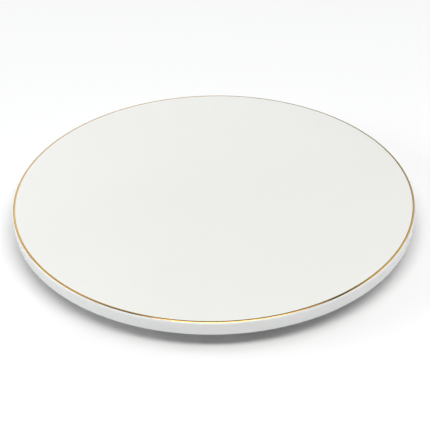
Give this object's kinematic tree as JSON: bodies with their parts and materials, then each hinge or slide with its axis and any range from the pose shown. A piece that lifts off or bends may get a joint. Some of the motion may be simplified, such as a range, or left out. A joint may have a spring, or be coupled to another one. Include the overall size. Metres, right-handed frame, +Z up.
{
  "type": "lazy susan turntable",
  "caption": "Round white porcelain lazy susan with a thin gilded edge, turning on a caged steel ball bearing over a ribbed plastic base with rubber feet.",
  "frame": {"origin": "on the spin axis, on the surface under the feet", "axes": "+Z up the spin axis, through the serving surface; the access plug and the first foot lie on +X"},
  "size_m": [0.3556, 0.3556, 0.028],
  "materials": {
    "porcelain": "clear glossy glaze over white porcelain, bare on the two foot rings",
    "gold_lustre": "burnished fired gold",
    "silicone": "milky silicone",
    "carrier_plastic": "fine-textured moulding",
    "zinc_plated_steel": "bright zinc plating with rolling lines",
    "screw_steel": "zinc plated",
    "rivet_steel": "zinc plated, drawn",
    "washer_nylon": "natural nylon",
    "retainer_plastic": "natural acetal",
    "ball_steel": "polished, lightly greased",
    "base_plastic": "fine-textured moulding",
    "plug_plastic": "smooth moulding",
    "foot_rubber": "matt rubber"
  },
  "bodies": {
    "base": {"access_plug": "plug_plastic", "base_screws": "screw_steel", "base_shell": "base_plastic", "lower_race_plate": "zinc_plated_steel", "pivot_rivet": "rivet_steel", "rubber_foot_01": "foot_rubber", "rubber_foot_02": "foot_rubber", "rubber_foot_03": "foot_rubber", "rubber_foot_04": "foot_rubber", "rubber_foot_05": "foot_rubber", "rubber_foot_06": "foot_rubber", "thrust_washer": "washer_nylon"},
    "turntable": {"bond_pad_01": "silicone", "bond_pad_02": "silicone", "bond_pad_03": "silicone", "bond_pad_04": "silicone", "bond_pad_05": "silicone", "bond_pad_06": "silicone", "carrier_disc": "carrier_plastic", "carrier_screws": "screw_steel", "gold_rim_band": "gold_lustre", "porcelain_platter": "porcelain", "upper_race_plate": "zinc_plated_steel"},
    "ball_cage": {"ball_retainer": "retainer_plastic", "bearing_ball_01": "ball_steel", "bearing_ball_02": "ball_steel", "bearing_ball_03": "ball_steel", "bearing_ball_04": "ball_steel", "bearing_ball_05": "ball_steel", "bearing_ball_06": "ball_steel", "bearing_ball_07": "ball_steel", "bearing_ball_08": "ball_steel", "bearing_ball_09": "ball_steel", "bearing_ball_10": "ball_steel", "bearing_ball_11": "ball_steel", "bearing_ball_12": "ball_steel", "bearing_ball_13": "ball_steel", "bearing_ball_14": "ball_steel", "bearing_ball_15": "ball_steel", "bearing_ball_16": "ball_steel"}
  },
  "joints": [
    {"name": "platter_spin", "type": "hinge", "parent": "base", "child": "turntable", "pos_m": [0, 0, 0.0135], "axis": [0, 0, 1], "continuous": true},
    {"name": "cage_spin", "type": "hinge", "parent": "base", "child": "ball_cage", "pos_m": [0, 0, 0.0135], "axis": [0, 0, 1], "continuous": true}
  ],
  "couplings": [
    {"joint": "cage_spin", "follows": "platter_spin", "ratio": 0.5}
  ]
}
